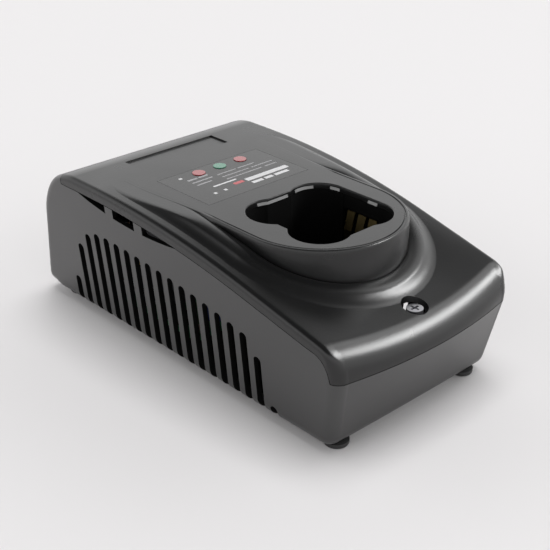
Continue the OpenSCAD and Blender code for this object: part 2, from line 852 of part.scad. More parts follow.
// Heat sink with two power transistors held by a spring clip
sink_x = 24;
sink_y = board_y - 23;
sink_l = 36;
sink_h = 30;
sink_t = 3;
transistor_y = [sink_y + 8, sink_y + sink_l - 8];
clip_z = 22;
module heat_sink()
{
    color([0.75, 0.76, 0.78])
        difference() {
            union() {
                translate([sink_x, sink_y, board_top])
                    cube([sink_t, sink_l, sink_h]);
                for (i = [0 : 7])
                    translate([sink_x + sink_t - eps, sink_y + i * (sink_l - 1.2) / 7, board_top])
                        cube([10, 1.2, sink_h]);
            }
            translate([sink_x - 1, sink_y + sink_l / 2, board_top + clip_z])
                rotate([0, 90, 0])
                    cylinder(h = 5, d = 2.5);
        }
}
module power_transistors()
{
    for (y = transistor_y) {
        color([0.15, 0.15, 0.15])
            translate([sink_x - 4.4, y - 5, board_top + 13])
                cube([3.2, 10, 12]);
        color([0.75, 0.75, 0.78])
            translate([sink_x - 1.2 - eps, y - 5, board_top + 13])
                cube([1.2 + eps, 10, 15]);
        color([0.75, 0.75, 0.78])
            for (i = [-1 : 1])
                translate([sink_x - 3, y + i * 2.5 - 0.4, board_top])
                    cube([0.5, 0.8, 13 + eps]);
    }
}
module transistor_clip()
{
    color([0.75, 0.75, 0.78]) {
        translate([sink_x - 5.2, transistor_y[0] - 3, board_top + clip_z - 2.5])
            cube([0.8, transistor_y[1] - transistor_y[0] + 6, 5]);
        translate([sink_x - 5.2 - 1.8, sink_y + sink_l / 2, board_top + clip_z])
            rotate([0, 90, 0])
                cylinder(h = 1.8 + eps, d = 5);
        translate([sink_x - 5.2, sink_y + sink_l / 2, board_top + clip_z])
            rotate([0, 90, 0])
                cylinder(h = 5.2 + sink_t, d = 2.5);
    }
}

bridge_l = 20;
bridge_at = [-8, board_y + 24.5];
lead_h = 3;
module bridge_rectifier()
{
    color([0.15, 0.15, 0.15])
        translate([bridge_at[0] - bridge_l / 2, bridge_at[1] - 2, board_top + lead_h])
            cube([bridge_l, 4, 15]);
    color([0.75, 0.75, 0.78])
        for (i = [-1.5 : 1.5])
            translate([bridge_at[0] + i * 5 - 0.45, bridge_at[1] - 0.45, board_top])
                cube([0.9, 0.9, lead_h + eps]);
}

module can(x, y, d, h)
{
    translate([x, y, board_top])
        difference() {
            cylinder(h = h, d = d);
            for (a = [0, 90])
                translate([0, 0, h])
                    rotate([0, 0, a])
                        cube([d * 0.7, 0.6, 0.8], center = true);
        }
}
mains_can_d = 18;
mains_can_h = 30;
output_can_d = 12.5;
output_can_h = 25;
module mains_capacitor()
{
    color([0.15, 0.18, 0.3])
        can(14, board_y + 32, mains_can_d, mains_can_h);
}
module output_capacitors()
{
    color([0.15, 0.18, 0.3])
        for (x = [-20, -5])
            can(x, board_y - 31.5, output_can_d, output_can_h);
}
film_w = 18;
film_l = 5.5;
film_h = 11;
module suppression_capacitor()
{
    color([0.75, 0.6, 0.2])
        translate([-8 - film_w / 2, board_y + 28, board_top])
            cube([film_w, film_l, film_h]);
}
choke_r = 6;
choke_wire_r = 2.6;
choke_y = board_y + 38;
module line_choke()
{
    color([0.6, 0.35, 0.15])
        translate([-8, choke_y, board_top + choke_r + choke_wire_r + 0.9])
            rotate([90, 0, 0])
                rotate_extrude()
                    translate([choke_r, 0])
                        circle(choke_wire_r);
    color([0.15, 0.15, 0.15])
        translate([-8 - choke_r, choke_y - 2.5, board_top])
            cube([2 * choke_r, 5, 1.6]);
}
fuse_x = -34.5;
fuse_y = board_y - 5;
fuse_l = 20;
fuse_d = 4.6;
fuse_cap_d = 5.2;
fuse_cap_l = 5;
fuse_up = 5;
module fuse()
{
    color([0.85, 0.87, 0.88])
        translate([fuse_x, fuse_y, board_top + fuse_up])
            rotate([-90, 0, 0])
                cylinder(h = fuse_l, d = fuse_d);
    color([0.75, 0.75, 0.78])
        for (y = [0, fuse_l - fuse_cap_l])
            translate([fuse_x, fuse_y + y, board_top + fuse_up])
                rotate([-90, 0, 0])
                    cylinder(h = fuse_cap_l, d = fuse_cap_d);
}
module fuse_clips()
{
    color([0.75, 0.75, 0.78])
        for (y = [0.5, fuse_l - fuse_cap_l + 0.5])
            translate([fuse_x, fuse_y + y, board_top])
                difference() {
                    translate([-3.4, 0, 0])
                        cube([6.8, fuse_cap_l - 1, 7]);
                    translate([0, -1, fuse_up])
                        rotate([-90, 0, 0])
                            cylinder(h = fuse_cap_l + 1, d = fuse_cap_d + 0.1);
                    translate([-2, -1, fuse_up])
                        cube([4, fuse_cap_l + 1, fuse_cap_l]);
                }
}
chip_at = [-34.3, board_y - 21.5];
chip_w = 6.4;
chip_l = 19;
pin_pitch = 2.54;
module controller_chip()
{
    color([0.15, 0.15, 0.15])
        translate([chip_at[0] - chip_w / 2, chip_at[1] - chip_l / 2, board_top + 0.8])
            cube([chip_w, chip_l, 3.2]);
    color([0.75, 0.75, 0.78])
        for (side = [-1, 1], i = [-3 : 3])
            translate([chip_at[0] + side * 3.8 - 0.6, chip_at[1] + i * pin_pitch - 0.25, board_top])
                cube([1.2, 0.5, 2.2]);
}
relay_w = 19;
relay_l = 15;
relay_h = 15;
module output_relay()
{
    color([0.15, 0.3, 0.5])
        translate([10, sink_y - relay_l - 0.5, board_top])
            cube([relay_w, relay_l, relay_h]);
}
terminal_w = 11;
terminal_l = 9.5;
terminal_h = 12;
terminal_y = board_y + 31;
pole_pitch = 5.6;
module mains_terminal()
{
    color([0.2, 0.45, 0.3])
        difference() {
            translate([gland_x - 1 - terminal_w / 2, terminal_y, board_top])
                cube([terminal_w, terminal_l, terminal_h]);
            for (side = [-1, 1])
                translate([gland_x - 1 + side * pole_pitch / 2, terminal_y, board_top]) {
                    translate([0, terminal_l - 3.5, 4])
                        rotate([-90, 0, 0])
                            cylinder(h = 10, d = 3.4);
                    translate([0, 4.5, terminal_h - 3])
                        cylinder(h = 5, d = 3.6);
                }
        }
}

// Mains entry: gland in the back wall and a clamp for the cord behind it
module cord_gland()
{
    color([0.16, 0.16, 0.16])
        gland_place()
            difference() {
                union() {
                    cylinder(h = gland_out, d1 = gland_d, d2 = gland_neck_d + 0.6);
                    translate([0, 0, -wall_back])
                        cylinder(h = wall_back + eps, d = gland_neck_d - 0.1);
                    translate([0, 0, -wall_back - 2.5])
                        cylinder(h = 2.5 - 0.02, d = gland_d);
                    translate([0, 0, -wall_back - 1])
                        cylinder(h = 2, d = gland_neck_d - 0.1);
                }
                translate([0, 0, -20])
                    cylinder(h = 40, d = gland_bore_d);
            }
}
module cord_clamp()
{
    color([0.16, 0.16, 0.16])
        difference() {
            translate([gland_x - clamp_pitch / 2 - 3.5, clamp_y - 3, clamp_z])
                cube([clamp_pitch + 7, 6, 9]);
            translate([gland_x, clamp_y - 5, gland_z])
                rotate([-90, 0, 0])
                    cylinder(h = 10, d = gland_bore_d);
            for (side = [-1, 1])
                bore(gland_x + side * clamp_pitch / 2, clamp_y, 0, 40, 2.9);
            translate([gland_x - gland_bore_d / 2, clamp_y - 5, 0])
                cube([gland_bore_d, 10, gland_z]);
            for (side = [-1, 1])
                translate([gland_x + side * (clamp_pitch / 2 + 0.8) - 3.5, clamp_y - 5,
                           clamp_z + 4])
                    cube([7, 10, 10]);
        }
}
module clamp_screws()
{
    color([0.75, 0.75, 0.78])
        for (side = [-1, 1])
            translate([gland_x + side * clamp_pitch / 2, clamp_y, clamp_z + 4])
                pan_screw(5, 1.8, 2.5, 9);
}

module cross_slot(d, deep)
{
    for (a = [0, 90])
        rotate([0, 0, a])
            cube([d, 1, 2 * deep], center = true);
}
module front_screw()
{
    color([0.8, 0.8, 0.82])
        translate([0, front_screw_y, front_head_z])
            difference() {
                pan_screw(screw_head_d, 2.2, screw_d, 16);
                translate([0, 0, 2.2])
                    cross_slot(screw_head_d * 0.6, 1.2);
            }
}
module rear_screws()
{
    color([0.8, 0.8, 0.82])
        for (side = [-1, 1])
            translate([side * rear_screw_pitch / 2, rear_screw_y, rear_head_z])
                rotate([180, 0, 0])
                    difference() {
                        pan_screw(screw_head_d, 2.4, screw_d, 28);
                        translate([0, 0, 2.4])
                            cross_slot(screw_head_d * 0.6, 1.2);
                    }
}

foot_edge = foot_h / 2;
foot_clip_d = foot_peg_d + 1;
module foot(i)
{
    color([0.22, 0.22, 0.22])
        translate([foot_places[i][0], foot_places[i][1], 0])
            rotate_extrude()
                difference() {
                    union() {
                        square([foot_d / 2 - foot_edge, foot_h]);
                        translate([0, foot_edge])
                            square([foot_d / 2, foot_h - foot_edge]);
                        translate([foot_d / 2 - foot_edge, foot_edge])
                            circle(foot_edge, $fn = 32);
                        square([foot_peg_d / 2 - 0.02, foot_h + wall + 1]);
                        translate([0, foot_h + wall])
                            square([foot_clip_d / 2, 1.2]);
                    }
                    translate([-50, -1])
                        square([50, 20]);
                }
}
module foot_front_left() { foot(0); }
module foot_front_right() { foot(1); }
module foot_rear_left() { foot(2); }
module foot_rear_right() { foot(3); }

module rating_plate()
{
    color([0.75, 0.75, 0.75])
        translate([-rating_w / 2 + fit_gap, rating_y - rating_l / 2 + fit_gap, base_z])
            cube([rating_w - 2 * fit_gap, rating_l - 2 * fit_gap, rating_t]);
}

base_housing();
top_cover();
battery_well();
status_label();
lens_charge();
lens_ready();
lens_fault();
indicator_board();
indicator_leds();
indicator_screws();
indicator_ribbon();
contact_carrier();
contact_positive();
contact_negative();
contact_sensor();
contact_leads();
main_board();
board_screws();
transformer_core();
transformer_bobbin();
transformer_winding();
heat_sink();
power_transistors();
transistor_clip();
bridge_rectifier();
mains_capacitor();
output_capacitors();
suppression_capacitor();
line_choke();
fuse();
fuse_clips();
controller_chip();
output_relay();
mains_terminal();
cord_gland();
cord_clamp();
clamp_screws();
front_screw();
rear_screws();
foot_front_left();
foot_front_right();
foot_rear_left();
foot_rear_right();
rating_plate();
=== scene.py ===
"""Battery charger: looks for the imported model, in the same frame (metres, +Z up, front at -Y)."""
import json
from math import cos, pi, radians, sin, sqrt, tan

import bmesh
import bpy
import numpy as np
from mathutils import Matrix, Vector


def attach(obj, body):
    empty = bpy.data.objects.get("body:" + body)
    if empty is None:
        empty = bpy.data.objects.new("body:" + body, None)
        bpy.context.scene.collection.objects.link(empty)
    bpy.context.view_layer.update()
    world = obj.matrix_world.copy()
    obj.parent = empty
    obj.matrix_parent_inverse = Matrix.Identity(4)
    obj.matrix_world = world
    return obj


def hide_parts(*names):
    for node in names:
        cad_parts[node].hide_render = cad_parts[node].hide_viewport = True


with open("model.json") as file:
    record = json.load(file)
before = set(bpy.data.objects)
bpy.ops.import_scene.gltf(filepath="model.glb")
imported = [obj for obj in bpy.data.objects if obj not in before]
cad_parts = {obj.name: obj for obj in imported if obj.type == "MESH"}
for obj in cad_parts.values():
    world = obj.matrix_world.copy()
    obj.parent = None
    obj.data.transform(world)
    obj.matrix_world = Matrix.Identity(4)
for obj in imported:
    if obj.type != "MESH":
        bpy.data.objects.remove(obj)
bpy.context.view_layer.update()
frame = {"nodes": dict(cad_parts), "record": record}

MM = 0.001
BODY = "charger"

# ---------------------------------------------------------------- driving sizes, in millimetres
BODY_LEN = 208.0
BODY_W = 97.0
TOP_H = 72.0
SIDE_FLARE = radians(5.7)
FRONT_LEAN = radians(11.3)
BACK_LEAN = radians(12)
FRONT_BOW = 4.7
FRONT_SLOPE = radians(12.5)
BEND_R = 465.0
BEND_START = 52.0
HOLLOW_T = 2.6
HOLLOW_SLOPE = radians(13.8)
BACK_ROUND = 32.0
FRONT_ROUND = 12.5
SIDE_ROUND = 2.6
BOTTOM_ROUND = 6.5
FRONT_CORNER_R = 5.5
BACK_CORNER_R = 5.0
WALL = 2.5
BASE_Z = 2.4
STRIP_H = 5.6
PARTING_H = 36.5
COVER_BACK = 74.0
SEAM_GAP = 0.3

HALF_LEN = BODY_LEN / 2
LIP_Y = -HALF_LEN + FRONT_BOW
SIDE_FRONT_Y = LIP_Y + FRONT_ROUND
BEND_END = BEND_START - BEND_R * sin(FRONT_SLOPE)
BEND_FALL = BEND_R * (1 - cos(FRONT_SLOPE))

WELL_Y = -36.8
LOBE_R = 12.9
LOBE_PITCH = 12.8
SIDE_INDENT = 4.6
END_INDENT = 1.4
NICHE_W = 20.8
LOBE_OUT = LOBE_PITCH + LOBE_R

FRONT_SCREW_Y = -HALF_LEN + 13.2
SCREW_HEAD_D = 7.0
DISH_D = 10.5
FRONT_BOSS_UP, FRONT_POST_BACK, FRONT_POST_D = 9, 1.2, 5
LABEL_W, LABEL_L, LABEL_Y, LABEL_T = 59.0, 36.0, 17.7, 0.5
LENS_Y, LENS_PITCH, LENS_D, LENS_MID_X = 30.5, 12.4, 6.0, 2.8
PLATE_W, PLATE_L, PLATE_Y, PLATE_T = 52.0, 12.6, 57.8, 0.7
VENT_N, VENT_PITCH, VENT_W, VENT_BACK, VENT_DROP, VENT_UNDER = 19, 7.52, 4.2, 74.1, 25.3, 7.0
BOSS_D, REAR_SCREW_X, REAR_JOINT_Z, REAR_HEAD_Z = 9.0, 29.0, 30.0, 16.0
BACK_MID_Z = TOP_H - BACK_ROUND
BACK_MID_Y = HALF_LEN + ((BASE_Z + BOTTOM_ROUND - BACK_MID_Z) * sin(BACK_LEAN) - BACK_ROUND) / cos(BACK_LEAN)
REAR_SCREW_Y = BACK_MID_Y - 3
GLAND_X, GLAND_Z, GLAND_BORE = -24.0, 31.0, 7.2
GLAND_PLACE = (GLAND_X, HALF_LEN - (GLAND_Z - BASE_Z - BOTTOM_ROUND) * tan(BACK_LEAN), GLAND_Z)
CLAMP_Y, CLAMP_PITCH, CLAMP_Z = HALF_LEN - WALL - 12, 18.0, GLAND_Z - GLAND_BORE / 2 - 1
BOARD_W, BOARD_L, BOARD_Y = 80.0, 84.0, 40.0
FOOT_X, FOOT_FRONT_Y, FOOT_REAR_Y = 39.0, 17 - HALF_LEN, HALF_LEN - 14
RATING_W, RATING_L, RATING_Y = 48.0, 34.0, 23.0
CRESCENT_H, CRESCENT_BACK, CRESCENT_L, CRESCENT_RIB = 4.6, 61.0, 69.0, 5.6
CRESCENT_MID_L, CRESCENT_FRONT_L = 15.0, 22.5


# ---------------------------------------------------------------- form of the housing
def top_z(y):
    """Height of the top surface along the length, before its edges are rounded."""
    y = np.asarray(y, float)
    bend = TOP_H - BEND_R + np.sqrt(np.maximum(0, BEND_R ** 2 - (BEND_START - y) ** 2))
    slope = TOP_H - BEND_FALL - (BEND_END - y) * tan(FRONT_SLOPE)
    return np.where(y > BEND_START, TOP_H, np.where(y > BEND_END, bend, slope))


def half_w(z):
    return BODY_W / 2 + (z - BASE_Z) * tan(SIDE_FLARE)


def smooth(t):
    t = np.clip(t, 0, 1)
    return t * t * (3 - 2 * t)


def surface_z(x, y):
    """Height of the top surface with the shallow hollow across its front."""
    y = np.asarray(y, float)
    edge = top_z(y)
    lowest = float(top_z(SIDE_FRONT_Y)) - HOLLOW_T + (y - SIDE_FRONT_Y) * tan(HOLLOW_SLOPE)
    hollow = lowest + HOLLOW_T * (x / half_w(PARTING_H)) ** 2
    gap = edge - hollow
    return edge - (np.sqrt(gap * gap + 0.36) + gap) / 2 + 0.02


def rounded(a, b, r, c=0.0):
    """Outside distance to two surfaces that meet in a round of radius r; c is the cosine between normals."""
    u, v = a + r, b + r
    p, q = (u - v * c) / (1 - c * c), (v - u * c) / (1 - c * c)
    arc = np.sqrt(np.maximum(0, u * u + v * v - 2 * u * v * c) / (1 - c * c)) - r
    return np.where((p > 0) & (q > 0), arc, np.maximum(a, b))


def body_distance(x, y, z):
    """Signed distance-like field of the convex housing: 0 on the outside, negative inside."""
    side = (np.abs(x) - half_w(z)) * cos(SIDE_FLARE)
    below = np.maximum(0, PARTING_H - z)
    bow = FRONT_BOW * np.clip((z - BASE_Z) / (PARTING_H - BASE_Z), 0, 1)
    across = np.clip(x / (half_w(z) - FRONT_CORNER_R), -1, 1)
    front_line = LIP_Y + below * tan(FRONT_LEAN) - bow * (1 - across ** 2)
    front = (front_line - y) * np.where(z < PARTING_H, cos(FRONT_LEAN), 1.0)
    back_line = HALF_LEN - (z - BASE_Z - BOTTOM_ROUND) * tan(BACK_LEAN)
    back = (y - back_line) * cos(BACK_LEAN)
    slope = np.arctan2(top_z(y + 0.5) - top_z(y - 0.5), 1.0)
    top = (z - surface_z(x, y)) * np.cos(slope)
    profile = rounded(top, front, FRONT_ROUND, sin(FRONT_SLOPE))
    profile = rounded(profile, back, BACK_ROUND, sin(BACK_LEAN))
    on_front = smooth((front - top + 5) / 10)
    on_back = smooth((back - top + 16) / 32)
    edge_r = SIDE_ROUND + (FRONT_CORNER_R - SIDE_ROUND) * on_front + (BACK_CORNER_R - SIDE_ROUND) * on_back
    walls = rounded(side, profile, edge_r)
    lean = sin(SIDE_FLARE) + smooth((-y - 92) / 8) * 0.097 - smooth((y - 92) / 8) * 0.307
    return rounded(walls, BASE_Z - z, BOTTOM_ROUND, lean)


def spread(low, high, step, edge, fine):
    """Grid lines from low to high, closer together within edge of both ends."""
    ends = np.arange(0, edge, fine)
    middle = np.linspace(low + edge, high - edge, max(2, int((high - low - 2 * edge) / step)))
    return np.concatenate([low + ends, middle, (high - ends)[::-1]])


def skin(level, coarse=1.0):
    """Closed mesh of the housing's surface drawn in by level: a fine box grid thrown onto the field."""
    xs = spread(-60, 60, 2.5 * coarse, 14, 1.0 * coarse)
    ys = spread(-106, 106, 2.5 * coarse, 30, 1.3 * coarse)
    zs = spread(0, 76, 2.5 * coarse, 14, 1.0 * coarse)
    verts, index, faces = [], {}, []

    def vert(i, j, k):
        key = (i, j, k)
        if key not in index:
            index[key] = len(verts)
            verts.append((xs[i], ys[j], zs[k]))
        return index[key]

    nx, ny, nz = len(xs) - 1, len(ys) - 1, len(zs) - 1
    for i in range(nx):
        for j in range(ny):
            faces.append([vert(i, j, 0), vert(i, j + 1, 0), vert(i + 1, j + 1, 0), vert(i + 1, j, 0)])
            faces.append([vert(i, j, nz), vert(i + 1, j, nz), vert(i + 1, j + 1, nz), vert(i, j + 1, nz)])
    for i in range(nx):
        for k in range(nz):
            faces.append([vert(i, 0, k), vert(i + 1, 0, k), vert(i + 1, 0, k + 1), vert(i, 0, k + 1)])
            faces.append([vert(i, ny, k), vert(i, ny, k + 1), vert(i + 1, ny, k + 1), vert(i + 1, ny, k)])
    for j in range(ny):
        for k in range(nz):
            faces.append([vert(0, j, k), vert(0, j, k + 1), vert(0, j + 1, k + 1), vert(0, j + 1, k)])
            faces.append([vert(nx, j, k), vert(nx, j + 1, k), vert(nx, j + 1, k + 1), vert(nx, j, k + 1)])
    centre = np.array([0.0, -2.0, 34.0])
    grid = np.array(verts)
    grid[:, 2] *= (top_z(grid[:, 1]) + 3) / 76
    flare = (half_w(grid[:, 2]) + 2) / 60
    lean = np.where(grid[:, 1] < 0, (103 - 0.176 * np.maximum(0, PARTING_H - grid[:, 2])) / 106, 1.0)
    ray = grid * np.stack([flare, lean, np.ones(len(grid))], 1) - centre
    near, far = np.zeros(len(ray)), np.full(len(ray), 1.2)
    for _ in range(34):
        mid = (near + far) / 2
        p = centre + ray * mid[:, None]
        outside = body_distance(p[:, 0], p[:, 1], p[:, 2]) > -level
        far = np.where(outside, mid, far)
        near = np.where(outside, near, mid)
    return centre + ray * near[:, None], faces


# ---------------------------------------------------------------- mesh helpers
def new_mesh(name, verts, faces):
    mesh = bpy.data.meshes.new(name)
    mesh.from_pydata([tuple(c * MM for c in v) for v in verts], [], [list(f) for f in faces])
    mesh.validate()
    obj = bpy.data.objects.new(name, mesh)
    bpy.context.scene.collection.objects.link(obj)
    return obj


def outward(obj):
    work = bmesh.new()
    work.from_mesh(obj.data)
    bmesh.ops.recalc_face_normals(work, faces=work.faces)
    work.to_mesh(obj.data)
    work.free()
    return obj


def prism(name, outline, low, high, axis="Z"):
    """Straight solid on a plan outline; axis X takes an outline in Y and Z."""
    n = len(outline)
    verts = []
    for level in (low, high):
        for a, b in outline:
            verts.append((a, b, level) if axis == "Z" else (level, a, b))
    faces = [list(range(n))[::-1], list(range(n, 2 * n))]
    faces += [[i, (i + 1) % n, n + (i + 1) % n, n + i] for i in range(n)]
    return outward(new_mesh(name, verts, faces))


def loft(name, rings, closed_ends=True):
    """Solid through rings that all have the same number of points."""
    n = len(rings[0])
    verts = [v for ring in rings for v in ring]
    faces = []
    for r in range(len(rings) - 1):
        for i in range(n):
            a, b = r * n + i, r * n + (i + 1) % n
            faces.append([a, b, b + n, a + n])
    if closed_ends:
        faces.append(list(range(n))[::-1])
        faces.append([(len(rings) - 1) * n + i for i in range(n)])
    return outward(new_mesh(name, verts, faces))


def join(name, objs):
    """One object from several."""
    work = bmesh.new()
    for obj in objs:
        work.from_mesh(obj.data)
    mesh = bpy.data.meshes.new(name)
    work.to_mesh(mesh)
    work.free()
    for obj in objs:
        drop(obj)
    out = bpy.data.objects.new(name, mesh)
    bpy.context.scene.collection.objects.link(out)
    return out


def drop(obj):
    data = obj.data
    bpy.data.objects.remove(obj)
    bpy.data.meshes.remove(data)


def combine(obj, tool, operation, keep_tool=False):
    """Boolean of two closed meshes, applied."""
    mod = obj.modifiers.new("combine", "BOOLEAN")
    mod.operation = operation
    mod.solver = "MANIFOLD"
    mod.object = tool
    result = bpy.data.meshes.new_from_object(obj.evaluated_get(bpy.context.evaluated_depsgraph_get()))
    obj.modifiers.remove(mod)
    old = obj.data
    if len(result.polygons) == 0:
        raise RuntimeError("empty boolean on " + obj.name)
    obj.data = result
    bpy.data.meshes.remove(old)
    if not keep_tool:
        drop(tool)
    return obj


def shade(obj, degrees=32):
    """Smooth shading that keeps edges sharper than the angle."""
    obj.data.polygons.foreach_set("use_smooth", [True] * len(obj.data.polygons))
    obj.data.set_sharp_from_angle(angle=radians(degrees))
    return obj


# A face whose normal rises more than this is flat; distances from the housing's surface, in millimetres
LEVEL = 0.99995
ON_SKIN = 0.04
UNDER_SKIN = 0.15


def field_normals(obj):
    """Takes the normals of faces on the housing's surface from its field, and keeps flat faces exact."""
    mesh = obj.data
    co = np.zeros(len(mesh.vertices) * 3)
    mesh.vertices.foreach_get("co", co)
    co = co.reshape(-1, 3) / MM
    on_skin = np.abs(body_distance(co[:, 0], co[:, 1], co[:, 2])) < ON_SKIN
    step = 0.05
    slope = []
    for axis in range(3):
        ahead, behind = co.copy(), co.copy()
        ahead[:, axis] += step
        behind[:, axis] -= step
        slope.append(body_distance(*ahead.T) - body_distance(*behind.T))
    normals = np.stack(slope, 1)
    normals /= np.maximum(1e-9, np.linalg.norm(normals, axis=1))[:, None]
    loops = np.zeros((len(mesh.loops), 3))
    for face in mesh.polygons:
        corners = list(face.vertices)
        if face.normal.z > LEVEL:
            loops[list(face.loop_indices)] = (0, 0, 1)
        elif on_skin[corners].all():
            flat = np.array(face.normal)
            if (normals[corners] @ flat > 0.85).all():
                for loop, corner in zip(face.loop_indices, corners):
                    loops[loop] = normals[corner]
    mesh.normals_split_custom_set([tuple(n) for n in loops])


def finish_piece(obj, material, body=BODY, replaces=()):
    obj.data.materials.clear()
    obj.data.materials.append(material)
    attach(obj, body)
    if replaces:
        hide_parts(*replaces)
    return obj


def paint_inside_shade(obj):
    """Gives the faces that lie under the housing's surface a darker, duller finish: painted shade on the slot
    walls and the hollow inside.
    """
    mesh = obj.data
    mesh.materials.append(INSIDE_PAINTED_SHADE)
    centres = np.array([tuple(f.center) for f in mesh.polygons]) / MM
    painted_shade_faces = body_distance(centres[:, 0], centres[:, 1], centres[:, 2]) < -UNDER_SKIN
    mesh.polygons.foreach_set("material_index", painted_shade_faces.astype(np.int32))
    mesh.update()


def circle(cx, cy, r, n=48):
    return [(cx + r * cos(2 * pi * i / n), cy + r * sin(2 * pi * i / n)) for i in range(n)]


def box_outline(x0, y0, x1, y1):
    return [(x0, y0), (x1, y0), (x1, y1), (x0, y1)]


# ---------------------------------------------------------------- materials
def plastic(name, colour, rough, grain=0.35, grain_size=900.0, mottling=0.12, coat=0.0, specular=0.5):
    """Moulded plastic: fine sparked texture, slight colour mottling and uneven gloss."""
    mat = bpy.data.materials.new(name)
    mat.use_nodes = True
    nodes, links = mat.node_tree.nodes, mat.node_tree.links
    shader = nodes["Principled BSDF"]
    coords = nodes.new("ShaderNodeTexCoord")
    fine = nodes.new("ShaderNodeTexNoise")
    fine.inputs["Scale"].default_value = grain_size
    fine.inputs["Detail"].default_value = 3.0
    broad = nodes.new("ShaderNodeTexNoise")
    broad.inputs["Scale"].default_value = 28.0
    broad.inputs["Detail"].default_value = 4.0
    links.new(coords.outputs["Object"], fine.inputs["Vector"])
    links.new(coords.outputs["Object"], broad.inputs["Vector"])
    tint = nodes.new("ShaderNodeMix")
    tint.data_type = "RGBA"
    tint.inputs["A"].default_value = tuple(c * (1 - mottling) for c in colour) + (1,)
    tint.inputs["B"].default_value = tuple(min(1, c * (1 + mottling)) for c in colour) + (1,)
    links.new(broad.outputs["Fac"], tint.inputs["Factor"])
    links.new(tint.outputs["Result"], shader.inputs["Base Color"])
    gloss = nodes.new("ShaderNodeMapRange")
    gloss.inputs["To Min"].default_value = max(0.02, rough - 0.05)
    gloss.inputs["To Max"].default_value = rough + 0.07
    links.new(broad.outputs["Fac"], gloss.inputs["Value"])
    links.new(gloss.outputs["Result"], shader.inputs["Roughness"])
    bump = nodes.new("ShaderNodeBump")
    bump.inputs["Strength"].default_value = grain
    bump.inputs["Distance"].default_value = 0.00008
    links.new(fine.outputs["Fac"], bump.inputs["Height"])
    links.new(bump.outputs["Normal"], shader.inputs["Normal"])
    shader.inputs["Specular IOR Level"].default_value = specular
    shader.inputs["Coat Weight"].default_value = coat
    return mat


def metal(name, colour, rough, streak=(1.0, 1.0, 18.0)):
    """Plated or drawn metal with fine streaks."""
    mat = plastic(name, colour, rough, grain=0.2, grain_size=400.0, mottling=0.08)
    nodes, links = mat.node_tree.nodes, mat.node_tree.links
    shader = nodes["Principled BSDF"]
    shader.inputs["Metallic"].default_value = 1.0
    mapping = nodes.new("ShaderNodeMapping")
    mapping.inputs["Scale"].default_value = streak
    coords = nodes["Texture Coordinate"]
    fine = nodes["Noise Texture"]
    links.new(coords.outputs["Object"], mapping.inputs["Vector"])
    links.new(mapping.outputs["Vector"], fine.inputs["Vector"])
    return mat


def tinted(name, colour, rough=0.12, transmission=0.35, glow=0.0):
    """Clear tinted plastic."""
    mat = plastic(name, colour, rough, grain=0.05, mottling=0.06, coat=0.4)
    shader = mat.node_tree.nodes["Principled BSDF"]
    shader.inputs["Transmission Weight"].default_value = transmission
    shader.inputs["Emission Color"].default_value = colour + (1,)
    shader.inputs["Emission Strength"].default_value = glow
    return mat


HOUSING = plastic("housing_plastic", (0.006, 0.006, 0.0062), 0.30, grain=0.25, specular=1.0)
# Darker and duller than the housing: painted shade for the slot walls and the hollow inside.
INSIDE_PAINTED_SHADE = plastic("housing_inside_painted_shade", (0.003, 0.003, 0.003), 0.7, grain=0.3, specular=0.1)
COVER = plastic("cover_plastic", (0.006, 0.006, 0.0062), 0.28, grain=0.25)
# The liner is black plastic, but it is made darker and duller than the housing: painted shade for the deep socket.
WELL_PAINTED_SHADE = plastic("well_plastic", (0.002, 0.002, 0.002), 0.7, grain=0.3, specular=0.08)
LABEL = plastic("label_film", (0.006, 0.006, 0.006), 0.24, grain=0.08, grain_size=500.0)
PRINT_PALE = plastic("label_print_pale", (0.62, 0.62, 0.63), 0.4, grain=0.1)
PRINT_GREY = plastic("label_print_grey", (0.3, 0.3, 0.31), 0.4, grain=0.1)
PRINT_RED = plastic("label_print_red", (0.5, 0.09, 0.1), 0.4, grain=0.1)
# Pale grey on the black cover: painted highlight on the socket's rim facets.
LIP_PAINTED_HIGHLIGHT = plastic("socket_rim_painted_highlight", (0.2, 0.2, 0.2), 0.4, grain=0.2)
RED = tinted("lens_red", (0.48, 0.05, 0.06))
GREEN = tinted("lens_green", (0.03, 0.3, 0.17))
LAMINATE = plastic("board_laminate", (0.02, 0.12, 0.05), 0.35, grain=0.3, mottling=0.25)
CLEAR = tinted("led_resin", (0.8, 0.79, 0.72))
STEEL = metal("screw_steel", (0.42, 0.42, 0.44), 0.34)
RIBBON = plastic("ribbon_grey", (0.3, 0.3, 0.33), 0.5)
CREAM = plastic("carrier_plastic", (0.62, 0.56, 0.43), 0.5)
BRASS = metal("contact_brass", (0.15, 0.115, 0.05), 0.38)
LEAD = plastic("lead_red", (0.38, 0.03, 0.025), 0.45)
FERRITE = plastic("core_ferrite", (0.06, 0.06, 0.065), 0.6, grain=0.8, grain_size=300.0)
COPPER = metal("winding_copper", (0.45, 0.17, 0.06), 0.3, streak=(1.0, 1.0, 60.0))
ALUMINIUM = metal("sink_aluminium", (0.55, 0.56, 0.58), 0.35)
EPOXY = plastic("component_black", (0.003, 0.003, 0.003), 0.6, specular=0.1)
SLEEVE = plastic("capacitor_sleeve", (0.02, 0.03, 0.09), 0.25, grain=0.1)
FILM = plastic("film_yellow", (0.5, 0.31, 0.03), 0.35)
FUSE_GLASS = tinted("fuse_glass", (0.7, 0.75, 0.76), 0.05, 0.8)
BLUE = plastic("relay_blue", (0.02, 0.09, 0.2), 0.3)
TERMINAL = plastic("terminal_green", (0.03, 0.2, 0.07), 0.4)
RUBBER = plastic("gland_rubber", (0.014, 0.014, 0.014), 0.65, grain=0.6)
FOOT = plastic("foot_rubber", (0.018, 0.018, 0.018), 0.6, grain=0.6)
PLATE = plastic("plate_grey", (0.4, 0.4, 0.4), 0.4, grain=0.15)

